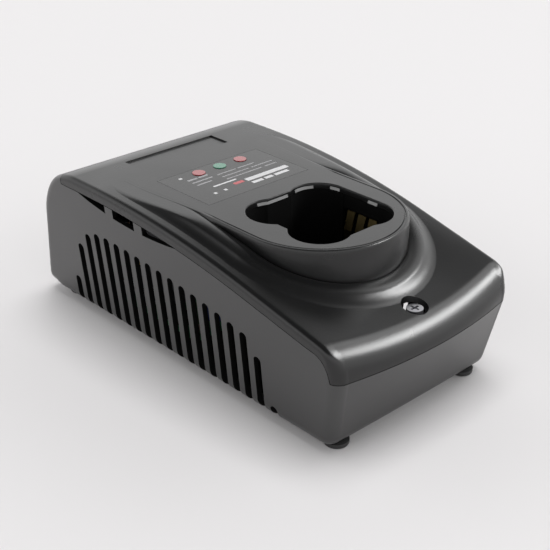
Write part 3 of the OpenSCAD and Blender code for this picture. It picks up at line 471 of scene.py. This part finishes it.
BY_SLOT = {
    "base_plastic": HOUSING, "cover_plastic": COVER, "well_plastic": WELL_PAINTED_SHADE, "label_face": LABEL,
    "lens_red": RED, "lens_green": GREEN, "board_laminate": LAMINATE, "led_body": CLEAR,
    "screw_steel": STEEL, "ribbon_grey": RIBBON, "carrier_plastic": CREAM, "contact_brass": BRASS,
    "lead_red": LEAD, "core_ferrite": FERRITE, "winding_copper": COPPER, "sink_aluminium": ALUMINIUM,
    "component_black": EPOXY, "capacitor_sleeve": SLEEVE, "film_yellow": FILM,
    "fuse_glass": FUSE_GLASS, "relay_blue": BLUE, "terminal_green": TERMINAL,
    "gland_rubber": RUBBER, "foot_rubber": FOOT, "plate_grey": PLATE,
}
for part in frame["record"]["subparts"]:
    node = frame["nodes"][part["node"]]
    node.data.materials.clear()
    node.data.materials.append(BY_SLOT[part["material_slot"]])
    shade(node, 35)


# ---------------------------------------------------------------- shared outlines
def seam_points(shift):
    """Parting line between cover and base in Y and Z, from the front to the back."""
    start = (LIP_Y + STRIP_H - 1.2, PARTING_H)
    end_y = LIP_Y + STRIP_H + 6
    end = (end_y, float(top_z(end_y)) - STRIP_H + 0.3)
    bend = (start[0] + 1.2, end[1] - 1.8)
    line = [(-150.0, PARTING_H + shift)]
    for i in range(9):
        t = i / 8
        y = start[0] * (1 - t) ** 2 + 2 * bend[0] * t * (1 - t) + end[0] * t * t
        z = start[1] * (1 - t) ** 2 + 2 * bend[1] * t * (1 - t) + end[1] * t * t
        line.append((y - shift * (1 - t), z + shift))
    for i in range(1, 41):
        y = end_y + (COVER_BACK - 3 - end_y) * i / 40
        line.append((y, float(top_z(y)) - STRIP_H + shift))
    return line


def socket_reach(angle, grow):
    """Distance from the socket's centre to its outline in a direction."""
    dx, dy = cos(angle), sin(angle)
    reach = 0.0
    boxes = [(LOBE_OUT - SIDE_INDENT, LOBE_PITCH), (LOBE_PITCH, LOBE_OUT - END_INDENT)]
    if dx > 0:
        boxes.append((LOBE_OUT, NICHE_W / 2))
    for bx, by in boxes:
        reach = max(reach, min((bx + grow) / max(1e-6, abs(dx)), (by + grow) / max(1e-6, abs(dy))))
    for sx in (-1, 1):
        for sy in (-1, 1):
            along = sx * LOBE_PITCH * dx + sy * LOBE_PITCH * dy
            inside = (LOBE_R + grow) ** 2 - (2 * LOBE_PITCH ** 2 - along ** 2)
            if along > 0 and inside > 0:
                reach = max(reach, along + sqrt(inside))
    return reach


def socket_ring(z, grow, n=360):
    return [(socket_reach(2 * pi * i / n, grow) * cos(2 * pi * i / n),
             WELL_Y + socket_reach(2 * pi * i / n, grow) * sin(2 * pi * i / n), z) for i in range(n)]


# ---------------------------------------------------------------- platform with its rim and ledge
PLATFORM_R = 37.3
PLATFORM_BACK = 50.0
LEDGE_R = 44.9
SWEEP_R = 52.0
BEAD_MID_R, BEAD_HALF, BEAD_RISE = 41.2, 3.9, 1.5
LEDGE_FRONT_H, LEDGE_SIDE_H, LEDGE_REACH = 1.1, 3.9, 43.6


def side_limit(y):
    """Half width at which the sweep below the ledge has to end, inside the rounded side edge."""
    return half_w(float(top_z(y))) - SIDE_ROUND - 1.2


def platform_path(r):
    """Plan points at offset r, round the front from the right back corner to the left back corner."""
    def across(y):
        spread_out = 2.2 * float(smooth((y - 0) / 36))
        inner = min(r, LEDGE_R) + spread_out
        if r <= LEDGE_R:
            return inner
        share = (r - LEDGE_R) / (SWEEP_R - LEDGE_R)
        return inner + (side_limit(y) - inner) * share

    sides = np.linspace(PLATFORM_BACK, WELL_Y, 44)[:-1]
    points = [(across(y), y) for y in sides]
    for i in range(121):
        a = -pi * i / 120
        reach = across(WELL_Y) + (r - across(WELL_Y)) * sin(-a) ** 2
        points.append((reach * cos(a), WELL_Y + reach * sin(a)))
    points += [(-across(y), y) for y in sides[::-1]]
    return points


def bead_z(y):
    """Top of the soft ledge that runs round the platform."""
    rise = float(np.clip((y - WELL_Y + LEDGE_REACH) / LEDGE_REACH, 0, 1))
    return float(top_z(y)) + LEDGE_FRONT_H + (LEDGE_SIDE_H - LEDGE_FRONT_H) * rise


def platform_profile():
    """(offset, height rule): a depth below the plateau, a height from the ledge's top, or a share of the sweep."""
    rows = [(34.6, "top", 0.0), (35.3, "top", 0.0), (35.5, "groove", 0.45), (36.0, "groove", 0.45),
            (36.2, "top", 0.03), (36.7, "top", 0.0), (37.1, "top", 0.12), (37.35, "top", 0.4),
            (37.5, "top", 0.9), (37.7, "top", 2.2)]
    for i in range(16):
        a = radians(160 - 9.333 * i)
        rows.append((BEAD_MID_R + BEAD_HALF * cos(a), "bead", BEAD_RISE * (sin(a) - 1)))
    for i in range(1, 15):
        rows.append((LEDGE_R + (SWEEP_R - LEDGE_R) * i / 14, "sweep", (1 - i / 14) ** 2.6))
    rows.append((SWEEP_R + 0.8, "sweep", -0.5))
    return rows


def soft_min(a, b, soft):
    return (a + b - sqrt((a - b) ** 2 + soft * soft)) / 2


def platform_solid():
    rings = []
    foot = BEAD_RISE * (sin(radians(20)) - 1)
    for r, rule, h in platform_profile():
        ring = []
        for x, y in platform_path(r):
            if rule == "sweep":
                low = float(surface_z(x, y)) - 0.06
                z = soft_min(TOP_H, low + max(0.3, bead_z(y) + foot - low) * h, 0.7)
            elif rule == "bead":
                z = soft_min(TOP_H, bead_z(y) + h, 0.7)
            else:
                fade = 1 - float(smooth((y + 22) / 20)) if rule == "groove" else 1.0
                z = TOP_H - h * fade
                if rule == "top" and h > 0.05:
                    z = -soft_min(-z, -soft_min(TOP_H, bead_z(y) - 0.7, 0.7), 0.3)
            ring.append((x, y, min(z, TOP_H - 0.01) if rule == "sweep" or h > 0.05 else z))
        rings.append(ring)
    rings.append([(x, y, float(top_z(y)) - 5) for x, y, _ in rings[-1]])
    n = len(rings[0])
    verts = [v for ring in rings for v in ring]
    faces = []
    for r in range(len(rings) - 1):
        for i in range(n - 1):
            a = r * n + i
            faces.append([a, a + 1, a + 1 + n, a + n])
    last = (len(rings) - 1) * n
    for i in range(n // 2 - 1):
        faces.append([i, n - 1 - i, n - 2 - i, i + 1])
        faces.append([last + i, last + i + 1, last + n - 2 - i, last + n - 1 - i])
    if n % 2:
        m = n // 2
        faces.append([m - 1, m + 1, m])
        faces.append([last + m - 1, last + m, last + m + 1])
    faces.append([r * n for r in range(len(rings))] + [r * n + n - 1 for r in range(len(rings))][::-1])
    return outward(new_mesh("platform", verts, faces))


# ---------------------------------------------------------------- cover
def above_seam(shift):
    line = seam_points(shift)
    back = (COVER_BACK - shift, line[-1][1])
    return prism("above_seam", line + [back, (COVER_BACK - shift, 120.0), (-150.0, 120.0)], -90, 90, "X")


def build_cover():
    verts, faces = skin(0.0)
    cover = outward(new_mesh("cover_shell", verts, faces))
    combine(cover, above_seam(SEAM_GAP / 2), "INTERSECT")
    combine(cover, platform_solid(), "UNION")
    inner_verts, inner_faces = skin(WALL, 2.0)
    inner = outward(new_mesh("cover_inner", inner_verts, inner_faces))
    combine(cover, inner, "DIFFERENCE")
    under = []
    for z in (30.0, TOP_H - WALL):
        under.append([(x, y, z) for x, y in platform_path(PLATFORM_R - 1.5)])
    combine(cover, loft("platform_inner", under), "DIFFERENCE")
    rings = [socket_ring(20.0, 0.0), socket_ring(TOP_H - 0.6, 0.0), socket_ring(TOP_H - 0.25, 0.12),
             socket_ring(TOP_H - 0.05, 0.4), socket_ring(TOP_H + 0.4, 1.2)]
    combine(cover, loft("socket_cut", rings), "DIFFERENCE")
    recess = prism("label_recess", box_outline(-LABEL_W / 2, LABEL_Y - LABEL_L / 2, LABEL_W / 2,
                                               LABEL_Y + LABEL_L / 2), TOP_H - LABEL_T, 90)
    combine(cover, recess, "DIFFERENCE")
    plate = prism("plate_recess", box_outline(-PLATE_W / 2, PLATE_Y - PLATE_L / 2, PLATE_W / 2,
                                              PLATE_Y + PLATE_L / 2), TOP_H - PLATE_T, 90)
    combine(cover, plate, "DIFFERENCE")
    for i in (-1, 0, 1):
        hole = prism("lens_hole", circle(LENS_MID_X + i * LENS_PITCH, LENS_Y, LENS_D / 2 + 0.15), 50, 90)
        combine(cover, hole, "DIFFERENCE")
    top = float(surface_z(0.0, FRONT_SCREW_Y))
    dish = []
    for i in range(9):
        a = radians(90 * i / 8)
        dish.append([(x, y, top - 3.2 + 3.4 * (1 - cos(a))) for x, y in
                     circle(0, FRONT_SCREW_Y, SCREW_HEAD_D / 2 + 0.4 + (DISH_D - SCREW_HEAD_D) / 2 * sin(a))])
    dish.append([(x, y, 80.0) for x, y in circle(0, FRONT_SCREW_Y, DISH_D / 2 + 0.4)])
    combine(cover, loft("dish", dish), "DIFFERENCE")
    shade(cover, 30)
    field_normals(cover)
    return finish_piece(cover, COVER, replaces=("top_cover",))


# ---------------------------------------------------------------- base
def slot_tools():
    tools = []
    for k in range(VENT_N):
        y = VENT_BACK - k * VENT_PITCH
        ends = {0: 31, 1: 10.8, 2: 3.3, 3: 0.6, VENT_N - 1: 26, VENT_N - 2: 6.7}
        tip = max(BASE_Z + 3, float(top_z(y)) - VENT_DROP - ends.get(k, 0))
        outline = [(y + VENT_W / 2, 0), (y + VENT_W / 2, tip)]
        for i in range(1, 12):
            a = pi * i / 12
            outline.append((y + VENT_W / 2 * cos(a), tip + VENT_W / 2 * sin(a)))
        outline += [(y - VENT_W / 2, tip), (y - VENT_W / 2, 0)]
        inner = BODY_W / 2 - VENT_UNDER
        tools.append(prism("slot", outline, inner, 80, "X"))
        tools.append(prism("slot", outline, -80, -inner, "X"))
    return join("slots", tools)


def crescent_tools():
    tools = []
    mid = CRESCENT_BACK - CRESCENT_L / 2
    rear_l = CRESCENT_L - CRESCENT_MID_L - CRESCENT_FRONT_L - 2 * CRESCENT_RIB
    high = CRESCENT_BACK
    for length in (rear_l, CRESCENT_MID_L, CRESCENT_FRONT_L):
        ys = np.linspace(high, high - length, 9)
        high -= length + CRESCENT_RIB
        upper = [(y, float(top_z(y)) - STRIP_H + 0.6) for y in ys]
        lower = [(y, float(top_z(y)) - STRIP_H - CRESCENT_H * (1 - ((y - mid) / (CRESCENT_L / 2)) ** 2) - 0.08)
                 for y in ys[::-1]]
        for low_x, high_x in ((44, 80), (-80, -44)):
            tools.append(prism("crescent", upper + lower, low_x, high_x, "X"))
    return join("crescents", tools)


def cylinder(x, y, low, high, d, n=40):
    return prism("cylinder", circle(x, y, d / 2, n), low, high)


def build_base():
    verts, faces = skin(0.0)
    base = outward(new_mesh("base_shell", verts, faces))
    inner_verts, inner_faces = skin(WALL, 2.0)
    combine(base, outward(new_mesh("base_inner", inner_verts, inner_faces)), "DIFFERENCE")
    combine(base, above_seam(-SEAM_GAP / 2), "DIFFERENCE")
    combine(base, slot_tools(), "DIFFERENCE")
    combine(base, crescent_tools(), "DIFFERENCE")
    floor_z = BASE_Z + WALL - 0.2
    joint_z = float(surface_z(0.0, FRONT_SCREW_Y)) - 10
    columns = [(0, FRONT_SCREW_Y, floor_z + FRONT_BOSS_UP, joint_z, BOSS_D),
               (0, FRONT_SCREW_Y + FRONT_POST_BACK, floor_z, floor_z + FRONT_BOSS_UP + 1, FRONT_POST_D)]
    for side in (-1, 1):
        columns.append((side * REAR_SCREW_X, REAR_SCREW_Y, floor_z, REAR_JOINT_Z, BOSS_D))
        columns.append((side * REAR_SCREW_X, REAR_SCREW_Y, floor_z, REAR_HEAD_Z + 3, BOSS_D + 3))
        columns.append((GLAND_X + side * CLAMP_PITCH / 2, CLAMP_Y, floor_z, CLAMP_Z, 7))
        for end in (-1, 1):
            columns.append((side * (BOARD_W / 2 - 5), BOARD_Y + end * (BOARD_L / 2 - 5), floor_z,
                            BASE_Z + WALL + 5, 7))
    for x, y, low, high, d in columns:
        combine(base, cylinder(x, y, low, high - 0.02, d), "UNION")
    for side in (-1, 1):
        head = cylinder(side * REAR_SCREW_X, REAR_SCREW_Y, -5, REAR_HEAD_Z, SCREW_HEAD_D + 1)
        combine(base, head, "DIFFERENCE")
    for x in (-FOOT_X, FOOT_X):
        for y in (FOOT_FRONT_Y, FOOT_REAR_Y):
            combine(base, cylinder(x, y, -5, 12, 4.3), "DIFFERENCE")
    plate = prism("rating_recess", box_outline(-RATING_W / 2, RATING_Y - RATING_L / 2, RATING_W / 2,
                                               RATING_Y + RATING_L / 2), -5, BASE_Z + 0.5)
    combine(base, plate, "DIFFERENCE")
    gland = cylinder(0, 0, -8, 8, 9)
    turn = Matrix.Rotation(BACK_LEAN - pi / 2, 4, "X")
    gland.data.transform(Matrix.Translation(Vector(GLAND_PLACE) * MM) @ turn)
    combine(base, gland, "DIFFERENCE")
    shade(base, 30)
    field_normals(base)
    finish_piece(base, HOUSING, replaces=("base_housing",))
    # Painted shade on the faces that lie under the housing's surface.
    paint_inside_shade(base)
    return base


# ---------------------------------------------------------------- small pieces
def label_marks():
    """Plain bars and blocks in place of the label's print."""
    z = TOP_H + 0.02
    pale = [(-20.9, 29.8, -19.3, 31.3), (0.6, 8.3, 25.5, 11.3), (-19.8, 6.9, -18.2, 8.5), (-14.0, 6.9, -12.4, 8.5),
            (-15.0, 13.2, -2.0, 14.3), (0.8, 4.7, 7.0, 6.8), (8.2, 4.7, 13.0, 6.8), (14.2, 4.7, 22.5, 6.8)]
    grey = [(-19.5, 25.6, -14.0, 27.0), (-13.2, 25.6, -8.0, 27.0), (-19.5, 22.4, -8.0, 23.4),
            (-19.5, 19.2, -11.0, 20.2), (-5.0, 22.6, 6.0, 23.4), (7.0, 22.6, 17.0, 23.4), (-5.0, 19.2, 11.0, 20.0),
            (-5.0, 16.0, 16.0, 16.8), (18.0, 16.0, 25.0, 16.8), (12.5, 19.2, 25.0, 20.0)]
    red = [(-6.4, 8.9, -0.9, 11.1)]
    for name, boxes, material in (("label_bars", pale, PRINT_PALE), ("label_lines", grey, PRINT_GREY),
                                  ("label_red_bar", red, PRINT_RED)):
        made = [prism(name, box_outline(*b), z - 0.05, z) for b in boxes]
        finish_piece(join(name, made), material)


def socket_lip():
    """Short pale facets along the far edge of the socket: a painted highlight where the rim catches the light."""
    made = []
    for start, end in ((79, 115), (50, 68), (27, 36), (-20, -9)):
        rings = []
        for i in range(13):
            a = radians(start + (end - start) * i / 12)
            far, near = socket_reach(a, 0.3), socket_reach(a, -0.5)
            rings.append([(far * cos(a), WELL_Y + far * sin(a), TOP_H - 0.4),
                          (near * cos(a), WELL_Y + near * sin(a), TOP_H - 2.3),
                          (far * cos(a), WELL_Y + far * sin(a), TOP_H - 2.4)])
        made.append(loft("lip", rings))
    finish_piece(shade(join("socket_lip", made), 20), LIP_PAINTED_HIGHLIGHT)


build_cover()
build_base()
label_marks()
socket_lip()

# ---------------------------------------------------------------- stage, lights and camera
CAMERA = (-309.4, -340.8, 265.5)
AZIMUTH, ELEVATION = radians(-43.05), radians(27.261)
FOCAL_PX, FRAME_PX, SENSOR = 1134.313, 550, 36.0

camera_data = bpy.data.cameras.new("camera")
camera_data.sensor_width = SENSOR
camera_data.lens = FOCAL_PX / FRAME_PX * SENSOR
camera_data.clip_start = 0.01
camera = bpy.data.objects.new("camera", camera_data)
camera.location = [c * MM for c in CAMERA]
camera.rotation_euler = (pi / 2 - ELEVATION, 0, AZIMUTH)
bpy.context.scene.collection.objects.link(camera)
bpy.context.scene.camera = camera


def background_mix(tree, colour, other):
    """Shows a plain colour to camera rays, and another shader to every other ray, reflections among them."""
    nodes, links = tree.nodes, tree.links
    path = nodes.new("ShaderNodeLightPath")
    flat = nodes.new("ShaderNodeEmission") if other.type != "BACKGROUND" else nodes.new("ShaderNodeBackground")
    flat.inputs["Color"].default_value = colour
    flat.inputs["Strength"].default_value = 1.0
    mix = nodes.new("ShaderNodeMixShader")
    links.new(path.outputs["Is Camera Ray"], mix.inputs[0])
    links.new(other.outputs[0], mix.inputs[1])
    links.new(flat.outputs[0], mix.inputs[2])
    return mix


BACKDROP = (0.80, 0.785, 0.79, 1)
world = bpy.data.worlds.new("world")
bpy.context.scene.world = world
world.use_nodes = True
sky, wires = world.node_tree.nodes, world.node_tree.links
ambient = sky["Background"]
direction = sky.new("ShaderNodeTexCoord")
parts = sky.new("ShaderNodeSeparateXYZ")
height = sky.new("ShaderNodeMapRange")
height.interpolation_type = "SMOOTHSTEP"
height.inputs["From Min"].default_value = 0.50
height.inputs["From Max"].default_value = 0.74
height.inputs["To Min"].default_value = 1.35
height.inputs["To Max"].default_value = 0.05
wires.new(direction.outputs["Generated"], parts.inputs["Vector"])
wires.new(parts.outputs["Z"], height.inputs["Value"])
wires.new(height.outputs["Result"], ambient.inputs["Strength"])
ambient.inputs["Color"].default_value = (1, 1, 1, 1)
mixed = background_mix(world.node_tree, BACKDROP, ambient)
wires.new(mixed.outputs[0], sky["World Output"].inputs["Surface"])

floor = new_mesh("floor", [(-3000, -3000, 0), (3000, -3000, 0), (3000, 3000, 0), (-3000, 3000, 0)], [[0, 1, 2, 3]])
floor_mat = bpy.data.materials.new("floor_paper")
floor_mat.use_nodes = True
paper = floor_mat.node_tree.nodes["Principled BSDF"]
paper.inputs["Base Color"].default_value = BACKDROP
paper.inputs["Roughness"].default_value = 0.9
floor.data.materials.append(floor_mat)


def lamp(name, azimuth, elevation, distance, size, power, glossy=True, diffuse=True):
    """Soft box aimed at the object from a compass direction and a height, in degrees."""
    data = bpy.data.lights.new(name, "AREA")
    data.shape = "RECTANGLE"
    data.size, data.size_y = size
    data.energy = power
    obj = bpy.data.objects.new(name, data)
    a, e = radians(azimuth), radians(elevation)
    obj.location = (distance * sin(a) * cos(e), -distance * cos(a) * cos(e), distance * sin(e))
    obj.rotation_euler = (pi / 2 - e, 0, a)
    obj.visible_glossy = glossy
    obj.visible_diffuse = diffuse
    bpy.context.scene.collection.objects.link(obj)


lamp("front_right", 52, 36, 1.3, (0.8, 0.3), 15, diffuse=False)
lamp("right_high", 80, 50, 1.3, (0.35, 0.2), 1.2, diffuse=False)
lamp("overhead", 100, 84, 8.0, (5.0, 5.0), 380, glossy=False)

scene = bpy.context.scene
scene.view_settings.view_transform = "Standard"
